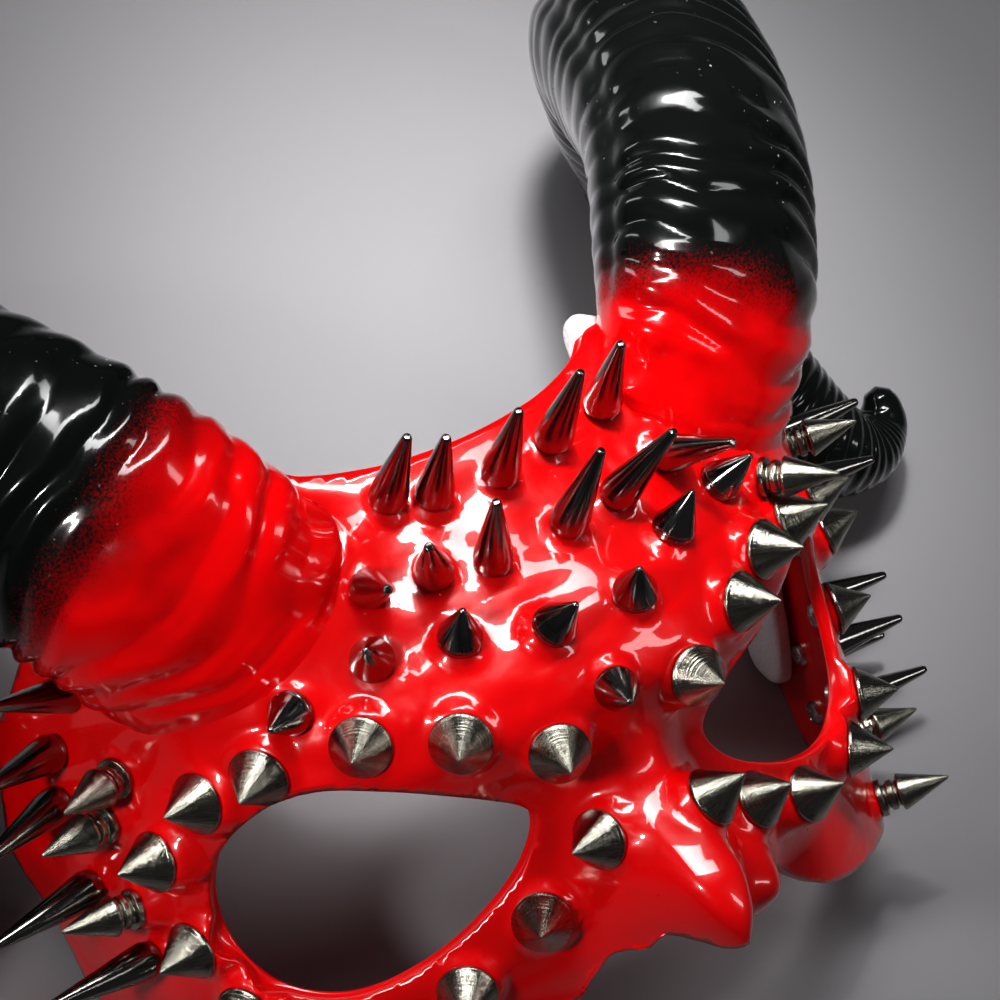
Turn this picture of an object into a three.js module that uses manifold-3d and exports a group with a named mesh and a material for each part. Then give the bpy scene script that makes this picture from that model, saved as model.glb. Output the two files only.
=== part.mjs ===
// Devil masquerade mask: a moulded half face with ram horns, screwed-on spikes and foam pads.
// The face is modelled upright, as worn: X to the viewer's right, -Y out of the face, Z up,
// with the reference point between the brows. The last group lays the mask on its back.
// Sizes are in millimetres and angles in degrees. Left and right are the wearer's.
import * as THREE from 'three';
import { mergeVertices } from 'three/addons/utils/BufferGeometryUtils.js';
import Module from 'manifold-3d';

const wasm = await Module();
wasm.setup();

// Driving sizes of the moulded face
const SKIN = 2.6;          // wall thickness
const SIDE_DEPTH = 86;     // depth at which the temples run straight back
const SIDE_ANGLE = 82.5;   // angle round the face where the rear rim is cut
const SEAT_GAP = 0.3;      // paint-thin gap under every piece that is fixed on
const SEAT_SEARCH = 9;     // how far above and below its foot a spike looks for the skin
const SEAT_RAYS = 36;      // places round a seat's edge where it looks
const LEAN = 59.6;         // how far the upright face leans back when it lies down
const REST_FLAT = 0.8;     // depth of the small flats it lies on

// Each row is a height and the depth of the middle of the face behind the brows there
const PROFILE = [
  [-60, 9], [-45, 9], [-36, 6], [-28, 3.5], [-8, 2], [0, -1], [6, -5.5], [12, -8],
  [18, -7], [24, -3.5], [30, 2], [38, 9], [46, 15.5], [54, 21], [62, 26.5], [72, 33]];
// Height and half the width of the face
const HALF_WIDTH = [[-60, 89], [-45, 88.5], [-30, 87.5], [0, 84.5], [20, 80.5], [40, 75], [60, 68], [75, 62]];
// Height and how far the temples are drawn in towards the jaw
const DRAWN_IN = [[-60, 11], [-33, 8.5], [-16, 5.7], [5, 0]];
// Height and how far the nose stands out, and height and half its width
const NOSE_REACH = [
  [-60, 30], [-45, 30], [-33, 28.8], [-27, 28], [-21, 25], [-15, 18.5], [-9.7, 11.5], [-4, 5.5],
  [0, 3], [6, 0]];
const NOSE_HALF = [[-60, 17], [-33, 17], [-20, 15.5], [-8, 13.5], [0, 12], [8, 10]];
// Height and half the width of the flat back of the nose
const NOSE_BACK = [[-60, 1.2], [-33, 1.2], [-27, 3], [-20, 4.4], [-10, 4], [0, 3], [8, 2]];
const NOSE_THINNING = 2.2;
// Angle round the face and height of the upper edge, the same on both sides
const UPPER_EDGE = [
  [0, 53.2], [10, 53.6], [18, 54.8], [24, 56.3], [28, 58], [34, 57.5], [42, 56.5], [52, 54], [62, 48],
  [72, 38], [82.5, 24]];
// Angle and height of the lower edge, on the side of the whole nose wing and on the other
const LOWER_LEFT = [
  [0, -32.3], [3, -32.5], [5.5, -33.5], [8, -38.5], [11, -41.5], [13.5, -40.5], [15.5, -38], [19, -41.5],
  [22.3, -47], [28, -52.6], [34.6, -57], [42.6, -59], [52, -60], [60, -59], [67, -56.5], [74, -51],
  [79, -40], [82.5, -28]];
const LOWER_RIGHT = [
  [0, -32.3], [1.4, -32.5], [3.3, -30.8], [5.2, -29.5], [6.2, -32.5], [8.1, -33.2], [8.8, -34.1],
  [9.8, -38.6], [10.8, -43.3], [16, -48], [22.3, -50], [28, -53.5], [34.6, -57], [42.6, -59],
  [52, -60], [60, -59], [67, -56.5], [74, -51], [79, -40], [82.5, -28]];
// The nose wing: angle and height of its middle, its reach, and its spread both ways
const WINGS = [
  { angle: 11.8, height: -36, reach: 13, wide: 4.2, tall: 9 },
  { angle: -9, height: -35, reach: 1.5, wide: 4, tall: 6 }];
// Angle and height round one eye opening, from the inner corner over the top
const EYE = [
  [11.9, -7.7], [12.9, -4], [17.8, 1], [24.5, 6.3], [30.7, 9.9], [36.8, 12], [42.3, 11.2],
  [47.6, 6], [50.3, -4.1], [49.7, -14.4], [44.6, -24.2], [36.5, -28.3], [28.1, -26.3],
  [20.1, -20.9], [14.3, -14.3]];
const EYE_STEPS = 30;

// Smooth curve through rows of [place, value] that never swings past them
function curve(rows) {
  const slope = rows.map((row, i) => {
    if (i === 0 || i === rows.length - 1) return 0;
    const before = (row[1] - rows[i - 1][1]) / (row[0] - rows[i - 1][0]);
    const after = (rows[i + 1][1] - row[1]) / (rows[i + 1][0] - row[0]);
    return before * after > 0 ? (2 * before * after) / (before + after) : 0;
  });
  return (place) => {
    const x = THREE.MathUtils.clamp(place, rows[0][0], rows[rows.length - 1][0]);
    let i = 0;
    while (i < rows.length - 2 && x > rows[i + 1][0]) i += 1;
    const span = rows[i + 1][0] - rows[i][0];
    const t = (x - rows[i][0]) / span;
    const rise = rows[i + 1][1] - rows[i][1];
    const first = slope[i] * span;
    const last = slope[i + 1] * span;
    return rows[i][1] + t * (first + t * (3 * rise - 2 * first - last + t * (first + last - 2 * rise)));
  };
}

const profile = curve(PROFILE);
const halfWidth = curve(HALF_WIDTH);
const drawnIn = curve(DRAWN_IN);
const noseReach = curve(NOSE_REACH);
const noseHalf = curve(NOSE_HALF);
const noseBack = curve(NOSE_BACK);
const upperEdge = curve(UPPER_EDGE);
const lowerLeft = curve(LOWER_LEFT);
const lowerRight = curve(LOWER_RIGHT);
const radians = THREE.MathUtils.degToRad;

// A point of the face without its nose
function cheek(angle, height) {
  const turn = radians(angle);
  const front = profile(height);
  const pinch = drawnIn(height) * THREE.MathUtils.smoothstep(Math.abs(angle), 48, 80);
  const x = halfWidth(height) * Math.sin(turn) - pinch * Math.sign(angle);
  const y = front + (SIDE_DEPTH - front) * (1 - Math.cos(turn));
  return new THREE.Vector3(x, y, height);
}

function cheekNormal(angle, height) {
  const across = cheek(angle + 0.1, height).sub(cheek(angle - 0.1, height));
  const up = cheek(angle, height + 0.1).sub(cheek(angle, height - 0.1));
  return across.cross(up).normalize();
}

// How far the nose and its wings stand out of the face at a point of it
function noseAt(x, angle, height, thinner) {
  const half = noseHalf(height) - thinner * 0.7;
  const slope = (half - Math.abs(x)) / (half - noseBack(height));
  let out = Math.max(0, noseReach(height) - thinner) * THREE.MathUtils.clamp(slope, 0, 1) ** 1.2;
  for (const wing of WINGS) {
    const sideways = (angle - wing.angle) / wing.wide;
    const upwards = (height - wing.height) / wing.tall;
    out += wing.reach * Math.exp(-sideways * sideways - upwards * upwards);
  }
  return out;
}

// A point of the finished face, lifted off its outer skin along the face's own normal
function face(angle, height, lift) {
  const point = cheek(angle, height);
  const thinner = lift < -SKIN / 2 ? NOSE_THINNING : 0;
  const nose = noseAt(point.x, angle, height, thinner);
  point.addScaledVector(cheekNormal(angle, height), lift);
  point.y -= nose;
  return point;
}

// Bends a plain geometry: each of its corners goes where the rule puts it
function bend(geometry, rule) {
  geometry.deleteAttribute('normal');
  geometry.deleteAttribute('uv');
  const bent = mergeVertices(geometry, 1e-5);
  const place = bent.attributes.position;
  for (let i = 0; i < place.count; i += 1) {
    const to = rule(place.getX(i), place.getY(i), place.getZ(i));
    place.setXYZ(i, to.x, to.y, to.z);
  }
  return bent;
}

function solidOf(geometry, matrix) {
  const plain = geometry.clone();
  plain.deleteAttribute('normal');
  plain.deleteAttribute('uv');
  if (matrix) plain.applyMatrix4(matrix);
  const closed = mergeVertices(plain, 1e-4);
  // A mirrored piece has its faces turned the right way out again
  if (matrix && matrix.determinant() < 0) closed.index.array.reverse();
  return new wasm.Manifold(new wasm.Mesh({
    numProp: 3,
    vertProperties: new Float32Array(closed.attributes.position.array),
    triVerts: new Uint32Array(closed.index.array),
  }));
}

function geometryOf(solid) {
  const mesh = solid.getMesh();
  const geometry = new THREE.BufferGeometry();
  geometry.setAttribute('position', new THREE.BufferAttribute(new Float32Array(mesh.vertProperties), 3));
  geometry.setIndex(new THREE.BufferAttribute(new Uint32Array(mesh.triVerts), 1));
  return geometry;
}

// The columns of the face lie closer together over the nose than at the temples
const COLUMNS = 44;
const ROWS = 14;
const columnAngle = (u) => SIDE_ANGLE * (0.66 * u + 0.34 * u * u * u);

// Outer and inner skin, trimmed to the upper and lower edges
function shellGeometry() {
  const slab = new THREE.BoxGeometry(2, 1, 1, COLUMNS, ROWS, 1);
  return bend(slab, (x, y, z) => {
    const angle = columnAngle(x);
    const lower = angle > 0 ? lowerLeft(angle) : lowerRight(-angle);
    const height = THREE.MathUtils.lerp(lower, upperEdge(Math.abs(angle)), y + 0.5);
    return face(angle, height, z > 0 ? 0 : -SKIN);
  });
}

// A prism through the face along its normals, as wide as one eye opening
function eyeCutter(side) {
  const corners = EYE.map(([angle, height]) => new THREE.Vector3(angle, height, 0));
  const ring = new THREE.CatmullRomCurve3(corners, true).getPoints(EYE_STEPS).slice(0, EYE_STEPS);
  const outline = new THREE.Shape(ring.map((p) => new THREE.Vector2(p.x, p.y)));
  const prism = new THREE.ExtrudeGeometry(outline, { depth: 1, bevelEnabled: false });
  const cutter = bend(prism, (x, y, z) => face(x, y, THREE.MathUtils.lerp(-9, 12, z)));
  return solidOf(cutter, new THREE.Matrix4().makeScale(side, 1, 1));
}

// Everything inside the outer skin, a seat gap larger, to cut the roots of the horns with
function headForm() {
  const block = new THREE.BoxGeometry(2, 1, 1, COLUMNS, 24, 1);
  return solidOf(bend(block, (x, y, z) => {
    const height = THREE.MathUtils.lerp(-62, 74, y + 0.5);
    if (z > 0) return face(88 * x, height, SEAT_GAP);
    return new THREE.Vector3(10 * x, 78, height * 0.8);
  }));
}

// Horn: middle line from the root round the loop to the hooked tip, with half the depth
// in the plane of the loop and half the thickness across it
const HORN = [
  [42, 33, 27, 13, 10], [47, 30.5, 35.5, 20.5, 13], [51.5, 29.6, 44, 24.4, 15], [57, 31, 53, 25.4, 16.8],
  [63.5, 36, 63, 25, 17.8], [72.5, 46.5, 75, 24.6, 18.6], [80.5, 62.5, 83.5, 24.2, 19.8],
  [90, 84, 87.5, 23.6, 20.4], [98.5, 98.5, 75, 22.3, 20.3], [103, 104.5, 59.5, 20.5, 19],
  [101, 101, 44.5, 18.5, 17.3], [95.5, 93, 31, 17, 15.8], [92, 85.5, 20, 16, 15.2],
  [96, 81, 9.5, 13.6, 13.6], [103, 77.5, 0, 10.8, 10.8], [111.5, 77.5, -5, 7.6, 7.6],
  [119, 80, -3.5, 5.8, 5.8], [121, 80.5, 0.5, 4.5, 4.5], [121, 80.5, 4, 2.8, 2.8]];
const HORN_DEPTH_WAY = new THREE.Vector3(-0.482, -0.463, 0.743);
const HORN_SIDES = 12;
const PLAIN_ROOT = 40;      // smooth length before the first ring
const PLAIN_TIP = 12;       // smooth length after the last ring
const RING_PITCH = 0.52;    // ring spacing as a share of the horn's depth there
const RING_STEP = 0.075;    // how far a ring stands out, as a share of the half depth

function hornLine() {
  const smooth = (points) => new THREE.CatmullRomCurve3(points, false, 'catmullrom', 0.5);
  const middle = smooth(HORN.map(([x, y, z]) => new THREE.Vector3(x, y, z)));
  const sizes = smooth(HORN.map((row) => new THREE.Vector3(row[3], row[4], 0)));
  return { middle, sizes };
}

// Places along the horn: a narrow neck and a wide lip for each ring
function hornStations(line) {
  const total = line.middle.getLength();
  const stations = [];
  const add = (along, swell) => {
    const t = line.middle.getUtoTmapping(Math.min(along / total, 1));
    const at = line.middle.getPoint(t);
    const size = line.sizes.getPoint(t);
    const way = line.middle.getTangent(t);
    stations.push({ at, way, deep: size.x * swell, thick: size.y * swell });
  };
  add(0, 1);
  add(8, 1);
  add(15, 1);
  add(22, 1.03);
  add(27, 0.96);
  add(31, 1);
  let along = PLAIN_ROOT;
  while (along < total - PLAIN_TIP) {
    add(along, 1 - RING_STEP);
    const pitch = RING_PITCH * stations[stations.length - 1].deep;
    add(along + 0.3 * pitch, 1);
    along += pitch;
  }
  add(total - PLAIN_TIP * 0.75, 0.97);
  add(total - PLAIN_TIP * 0.35, 0.95);
  add(total, 0.75);
  return stations;
}

function hornGeometry() {
  const stations = hornStations(hornLine());
  const depthWay = HORN_DEPTH_WAY.clone();
  for (const station of stations) {
    depthWay.addScaledVector(station.way, -depthWay.dot(station.way)).normalize();
    station.up = depthWay.clone();
    station.aside = new THREE.Vector3().crossVectors(station.way, depthWay);
  }
  const last = stations.length - 1;
  const stock = new THREE.CylinderGeometry(1, 1, last, HORN_SIDES, last, false);
  return bend(stock, (x, y, z) => {
    const station = stations[Math.round(y + last / 2)];
    const point = station.at.clone();
    point.addScaledVector(station.up, x * station.deep);
    return point.addScaledVector(station.aside, -z * station.thick);
  });
}

// Laying the face down: it leans back until the horns and the cheek corners carry it
const layBack = new THREE.Matrix4().makeRotationX(radians(-LEAN));
const standUp = layBack.clone().invert();

function lowestOf(geometries) {
  let lowest = Infinity;
  for (const geometry of geometries) {
    const place = geometry.attributes.position;
    for (let i = 0; i < place.count; i += 1) {
      const height = new THREE.Vector3().fromBufferAttribute(place, i).applyMatrix4(layBack).z;
      lowest = Math.min(lowest, height);
    }
  }
  return lowest;
}

const shellRaw = shellGeometry();
const hornRaw = hornGeometry();
const floorHeight = lowestOf([shellRaw, hornRaw]) + REST_FLAT;
const floorBlock = new THREE.BoxGeometry(500, 500, 60).translate(0, 0, floorHeight - 30);
const belowFloor = solidOf(floorBlock, standUp);

const mirror = new THREE.Matrix4().makeScale(-1, 1, 1);
const shellSolid = solidOf(shellRaw).subtract(eyeCutter(1)).subtract(eyeCutter(-1)).subtract(belowFloor);
const form = headForm();
const hornSolid = (matrix) => solidOf(hornRaw, matrix).subtract(form).subtract(belowFloor);

// Finishes
const redGloss = new THREE.MeshStandardMaterial({ color: 0xc20a0c, roughness: 0.16, metalness: 0 });
const blackGloss = new THREE.MeshStandardMaterial({ color: 0x0b0c0c, roughness: 0.2, metalness: 0 });
const nickel = new THREE.MeshStandardMaterial({ color: 0xa9a598, roughness: 0.28, metalness: 1 });
const blackNickel = new THREE.MeshStandardMaterial({ color: 0x4a4644, roughness: 0.15, metalness: 1 });
const whiteFoam = new THREE.MeshStandardMaterial({ color: 0xd8d4d6, roughness: 0.95, metalness: 0 });

const mask = new THREE.Group();
function fix(name, geometry, material) {
  const mesh = new THREE.Mesh(geometry, material);
  mesh.name = name;
  mask.add(mesh);
  return mesh;
}

const shellMesh = fix('mask_shell', geometryOf(shellSolid), redGloss);
fix('horn_left', geometryOf(hornSolid()), blackGloss);
fix('horn_right', geometryOf(hornSolid(mirror)), blackGloss);

// Turned spikes, each a profile of [radius, distance from the seat]
const CONE_STUD = [[0, 0], [5.25, 0], [5.25, 0.7], [0, 8.3]];
const SLENDER_SPIKE = [[0, 0], [2.9, 0], [3.4, 1.8], [0.8, 19.2], [0, 19.4]];
const COLLARED_SPIKE = [[0, 0], [3.75, 0], [3.75, 1.6], [0.5, 9.2], [0, 9.4]];
const TREE_SPIKE = [[0, 0], [3.6, 0], [3.6, 1.3], [2.3, 1.8], [2.6, 3.6], [3.6, 4.4], [0.3, 13.8], [0, 14]];
const LONG_SPIKE = [[0, 0], [2.9, 0], [3.4, 1.9], [0.8, 21.8], [0, 22]];

function turned(rows, sides) {
  const lathe = new THREE.LatheGeometry(rows.map(([r, h]) => new THREE.Vector2(r, h)), sides);
  return geometryOf(solidOf(lathe));
}

// A direction given by its turn round the face and its rise above level
function aim(turn, rise) {
  const flat = Math.cos(radians(rise));
  const sideways = flat * Math.sin(radians(turn));
  return new THREE.Vector3(sideways, -flat * Math.cos(radians(turn)), Math.sin(radians(rise)));
}

// How far along its axis a round seat has to move to stand clear of the skin under it
function seatLift(foot, axis, turn, seat) {
  const skin = shellMesh.geometry.attributes.position;
  const down = axis.clone().negate();
  let lift = 0;
  for (let i = 0; i < skin.count; i += 1) {
    const aside = new THREE.Vector3().fromBufferAttribute(skin, i).sub(foot);
    const up = aside.dot(axis);
    if (aside.addScaledVector(axis, -up).length() < seat && up < SEAT_SEARCH) lift = Math.max(lift, up);
  }
  for (let i = 0; i < SEAT_RAYS; i += 1) {
    const spin = (2 * Math.PI * i) / SEAT_RAYS;
    const rim = new THREE.Vector3(seat * Math.cos(spin), SEAT_SEARCH, seat * Math.sin(spin));
    const ray = new THREE.Raycaster(rim.applyQuaternion(turn).add(foot), down, 0, SEAT_SEARCH * 2);
    const hits = ray.intersectObject(shellMesh);
    if (hits.length > 0) lift = Math.max(lift, SEAT_SEARCH - hits[0].distance);
  }
  return lift + SEAT_GAP;
}

// Fixes one spike on the face, pointing the way given
function spike(name, kind, angle, height, axis, sides) {
  const foot = face(angle, height, 0);
  const turn = new THREE.Quaternion().setFromUnitVectors(new THREE.Vector3(0, 1, 0), axis);
  const plating = kind === CONE_STUD || kind === TREE_SPIKE ? nickel : blackNickel;
  const mesh = fix(name, turned(kind, sides), plating);
  mesh.quaternion.copy(turn);
  mesh.position.copy(foot).addScaledVector(axis, seatLift(foot, axis, turn, kind[1][0] + 0.1));
}

// Spikes of the forehead: angle round the face, height, then the way each one points
const FOREHEAD = [
  [-15.3, 48.5, 2, 43], [-9.4, 46.7, -5, 43], [0, 45.8, 0, 44], [9.4, 46.6, 7, 45], [19.8, 47, -2, 44],
  [-22.5, 38.5, -14, 15], [-14.1, 37.1, -23, 32], [-7.1, 35.4, -11, 47], [3.7, 35.5, 15, 47],
  [12.1, 35.9, 24, 36], [23, 37.6, 9, 10]];
FOREHEAD.forEach(([angle, height, turn, rise], i) => {
  spike(`forehead_spike_${i + 1}`, SLENDER_SPIKE, angle, height, aim(turn, rise), 8);
});
const COLLARED = [
  [-36.5, 25.3, -48, 7], [-25.8, 28.7, -27, 33], [-15.8, 27.6, -7, 48], [-5.8, 24.7, 12, 33],
  [6, 23.6, -12, 44], [15.9, 27.8, 28, 49], [28.1, 29.1, 31, 30], [-1.6, 13.3, -18, 3]];
COLLARED.forEach(([angle, height, turn, rise], i) => {
  spike(`collared_spike_${i + 1}`, COLLARED_SPIKE, angle, height, aim(turn, rise), 8);
});

// Cone studs round the right eye, then round the left one
const CONES_RIGHT = [
  [-9.6, 6.6, -19, -3], [-20.4, 14.2, -32, 3], [-31, 17.9, -38, 6], [-42.7, 16.8, -52, -4],
  [-50.5, 13.3, -66, 12], [-55.7, 3.2, -74, 13], [-53.6, -14.4, -72, 2], [-48.8, -26.4, -60, -8],
  [-35, -37.2, -38, -16], [-23.5, -32.2, -36, -6], [-13.7, -24.6, -32, 8], [-6.4, -12.5, -66, 12]];
const CONES_LEFT = [
  [9.2, 7.6, 0, 2], [19.3, 14.2, 26, -1], [27.4, 18.3, 26, 0], [37.3, 17.1, 44, 11],
  [50.8, 13.2, 62, 8], [59.5, -1, 70, 10], [58.5, -16.5, 70, 0], [46, -27.3, 60, -8],
  [38.4, -33, 51, -13], [24.7, -31.6, 25, 16], [15.3, -24.4, 29, 22], [4.4, -12.9, 40, 27]];
CONES_RIGHT.forEach(([angle, height, turn, rise], i) => {
  spike(`cone_stud_right_${i + 1}`, CONE_STUD, angle, height, aim(turn, rise), 10);
});
CONES_LEFT.forEach(([angle, height, turn, rise], i) => {
  spike(`cone_stud_left_${i + 1}`, CONE_STUD, angle, height, aim(turn, rise), 10);
});

// Tree spikes and long spikes of the temples and cheeks, first the right side, then the left
const TREES = {
  right: [[-60.7, 18.2, -63, 3], [-63.2, 10.4, -75, 5], [-59.9, -6.4, -86, 11], [-60.5, -45, -75, 0]],
  left: [[35.6, 26.3, 39, -6], [61, 18.2, 63, 3], [61, -45.4, 75, 0], [49, -53.2, 55, 5]] };
const LONGS = {
  right: [[-66.3, -2.1, -79, 0], [-61, -16.6, -79, 7]],
  left: [[76, -23, 80, -4], [68, -42, 80, -2]] };
for (const side of ['right', 'left']) {
  TREES[side].forEach(([angle, height, turn, rise], i) => {
    spike(`tree_spike_${side}_${i + 1}`, TREE_SPIKE, angle, height, aim(turn, rise), 8);
  });
  LONGS[side].forEach(([angle, height, turn, rise], i) => {
    spike(`long_spike_${side}_${i + 1}`, LONG_SPIKE, angle, height, aim(turn, rise), 8);
  });
}

// Foam pad: a strip with round ends that follows the inside of the face down the temple
const PAD_THICK = 4;
const PAD_HALF = 8;
const PAD_LINE = [[28, 57], [38, 51], [50, 42], [62, 26], [70, 6], [75, -14], [77, -36]];
function padGeometry(side) {
  const strip = new THREE.BoxGeometry(1, 1, 1, 14, 2, 1);
  const turnAt = curve(PAD_LINE.map(([angle], i) => [i / (PAD_LINE.length - 1), angle]));
  const heightAt = curve(PAD_LINE.map(([, height], i) => [i / (PAD_LINE.length - 1), height]));
  const bent = bend(strip, (x, y, z) => {
    const t = x + 0.5;
    const tip = Math.min(t, 1 - t) * 11;
    const half = tip < 1 ? PAD_HALF * Math.sqrt(Math.max(0.06, 1 - (1 - tip) ** 2)) : PAD_HALF;
    const ahead = face(turnAt(Math.min(t + 0.02, 1)), heightAt(Math.min(t + 0.02, 1)), -SKIN);
    const here = face(turnAt(Math.max(t - 0.02, 0)), heightAt(Math.max(t - 0.02, 0)), -SKIN);
    const along = ahead.sub(here).normalize();
    const inward = cheekNormal(turnAt(t), heightAt(t)).negate();
    const across = new THREE.Vector3().crossVectors(inward, along).normalize();
    const point = face(turnAt(t), heightAt(t), -SKIN - 1 - (z > 0 ? 0 : PAD_THICK));
    return point.addScaledVector(across, -2 * half * y);
  });
  return geometryOf(solidOf(bent, new THREE.Matrix4().makeScale(side, 1, 1)));
}
fix('foam_pad_left', padGeometry(1), whiteFoam);
fix('foam_pad_right', padGeometry(-1), whiteFoam);

// The finished mask lies on its back with its middle over the reference point
const lying = new THREE.Group();
mask.rotation.x = radians(-LEAN);
lying.add(mask);
lying.updateMatrixWorld(true);
const extent = new THREE.Box3().setFromObject(lying, true);
const middle = extent.getCenter(new THREE.Vector3());
lying.position.set(-middle.x, -middle.y, -extent.min.z);
lying.updateMatrixWorld(true);

export default lying;
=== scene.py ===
# %% [markdown]
# # A devil mask in red and black lacquer
# The part is a half mask that covers brow, cheeks and nose. It is a thin moulded face with two
# ram horns, metal spikes screwed round the eyes and over the forehead, and foam pads inside.
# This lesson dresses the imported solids: every solid stays where it is, and a finer mesh of the
# same form, with the small folds, lips and grain that a solid leaves out, stands for it.

# %% The frame
import bmesh
import bpy
import math
import numpy as np
from mathutils import Matrix, Vector, noise
from mathutils.bvhtree import BVHTree
from mathutils.geometry import delaunay_2d_cdt


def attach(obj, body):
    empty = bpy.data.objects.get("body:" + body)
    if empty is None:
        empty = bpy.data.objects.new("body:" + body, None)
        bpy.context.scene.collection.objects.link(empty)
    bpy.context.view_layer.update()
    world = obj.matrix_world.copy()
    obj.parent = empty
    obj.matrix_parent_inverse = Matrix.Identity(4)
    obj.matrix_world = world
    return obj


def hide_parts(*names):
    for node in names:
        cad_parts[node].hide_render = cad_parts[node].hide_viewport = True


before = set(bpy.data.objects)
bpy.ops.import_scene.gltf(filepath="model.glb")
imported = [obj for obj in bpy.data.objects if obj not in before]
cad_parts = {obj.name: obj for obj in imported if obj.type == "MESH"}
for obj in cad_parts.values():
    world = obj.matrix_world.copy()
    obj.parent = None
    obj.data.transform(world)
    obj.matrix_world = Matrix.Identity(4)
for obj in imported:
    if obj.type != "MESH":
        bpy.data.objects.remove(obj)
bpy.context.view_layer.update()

# %% [markdown]
# ## Upright sizes, lying part
# The face was worked out upright, as worn: X to the viewer's right, -Y out of the face, Z up, in
# millimetres. The part lies on its back, so one matrix leans every upright point back and puts
# it on the floor in metres. Keeping the upright sizes makes every number readable.

# %% From upright millimetres to the lying part
LEAN = 59.6                            # degrees that the face leans back
SHIFT = (0.0, -50.095, 81.945)         # millimetres from the face's middle to where it lies
LAY = np.array(Matrix.Rotation(math.radians(-LEAN), 3, "X"))


def lay(points):
    return (np.asarray(points, float) @ LAY.T + SHIFT) / 1000


def lay_way(ways):
    return np.asarray(ways, float) @ LAY.T


print("the face leans back", LEAN, "degrees")

# %% [markdown]
# ## The moulded face as a formula
# A face is easy to draw as a table of sections and hard to draw as points. Here a height and an
# angle round the face give a place on it: a rounded plan from temple to temple, a profile down
# the middle, and a nose that is pushed out of it. A smooth curve runs through each short table
# of sizes and never swings past them, so no bump appears that nobody asked for.

# %% Smooth curves through rows of sizes
def curve(rows):
    place, value = np.array(rows, float).T
    step, rise = np.diff(place), np.diff(value)
    slope = rise / step
    bend = np.zeros(len(place))
    same = slope[:-1] * slope[1:] > 0
    bend[1:-1][same] = 2 * (slope[:-1] * slope[1:])[same] / (slope[:-1] + slope[1:])[same]

    def at(x):
        x = np.clip(np.asarray(x, float), place[0], place[-1])
        i = np.clip(np.searchsorted(place, x, "right") - 1, 0, len(step) - 1)
        t = (x - place[i]) / step[i]
        first, last = bend[i] * step[i], bend[i + 1] * step[i]
        bent, twisted = 3 * rise[i] - 2 * first - last, first + last - 2 * rise[i]
        return value[i] + t * (first + t * (bent + t * twisted))

    return at


# %% The sizes of the face
SKIN = 2.6             # wall of the moulding
SIDE_DEPTH = 86.0      # depth at which the temples run straight back
SIDE_ANGLE = 82.5      # how far round the face the moulding goes, in degrees
NOSE_SOFTNESS = 0.12   # rounds the ridge and the foot of the nose
profile = curve([
    (-60, 9), (-45, 9), (-36, 6), (-28, 3.5), (-8, 2), (0, -1), (6, -5.5), (12, -8),
    (18, -7), (24, -3.5), (30, 2), (38, 9), (46, 15.5), (54, 21), (62, 26.5), (72, 33)])
half_width = curve([
    (-60, 89), (-45, 88.5), (-30, 87.5), (0, 84.5), (20, 80.5), (40, 75), (60, 68), (75, 62)])
drawn_in = curve([(-60, 11), (-33, 8.5), (-16, 5.7), (5, 0)])
nose_reach = curve([
    (-60, 30), (-45, 30), (-33, 28.8), (-27, 28), (-21, 25), (-15, 18.5), (-9.7, 11.5), (-4, 5.5),
    (0, 3), (6, 0)])
nose_half = curve([(-60, 17), (-33, 17), (-20, 15.5), (-8, 13.5), (0, 12), (8, 10)])
nose_back = curve([(-60, 1.2), (-33, 1.2), (-27, 3), (-20, 4.4), (-10, 4), (0, 3), (8, 2)])
upper_edge = curve([
    (0, 53.2), (10, 53.6), (18, 54.8), (24, 56.3), (28, 58), (34, 57.5), (42, 56.5), (52, 54), (62, 48),
    (72, 38), (82.5, 24)])
CHEEK_EDGE = [
    (28, -53.5), (34.6, -57), (42.6, -59), (52, -60), (60, -59), (67, -56.5), (74, -51), (79, -40),
    (82.5, -28)]
lower_left = curve([
    (0, -32.3), (3, -32.5), (5.5, -33.5), (8, -38.5), (11, -41.5), (13.5, -40.5), (15.5, -38), (19, -41.5),
    (22.3, -47)] + CHEEK_EDGE)
lower_right = curve([
    (0, -32.3), (1.4, -32.5), (3.3, -30.8), (5.2, -29.5), (6.2, -32.5), (8.1, -33.2), (8.8, -34.1),
    (9.8, -38.6), (10.8, -43.3), (16, -48), (22.3, -50)] + CHEEK_EDGE)
NOSE_WINGS = [(11.8, -36, 13, 4.2, 9), (-9, -35, 1.5, 4, 6)]
print("face", 2 * SIDE_ANGLE, "degrees round, wall", SKIN, "mm")


# %% A place on the face
def smooth(low, high, x):
    t = np.clip((x - low) / (high - low), 0, 1)
    return t * t * (3 - 2 * t)


def unit(v):
    return v / np.maximum(np.linalg.norm(v, axis=-1, keepdims=True), 1e-12)


def cheek(angle, height):
    turn = np.radians(angle)
    front = profile(height)
    pinch = drawn_in(height) * smooth(48, 80, np.abs(angle)) * np.sign(angle)
    return np.stack([
        half_width(height) * np.sin(turn) - pinch,
        front + (SIDE_DEPTH - front) * (1 - np.cos(turn)),
        np.broadcast_to(height, np.shape(turn)).astype(float)], -1)


def cheek_normal(angle, height):
    across = cheek(angle + 0.1, height) - cheek(angle - 0.1, height)
    up = cheek(angle, height + 0.1) - cheek(angle, height - 0.1)
    return unit(np.cross(across, up))


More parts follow.
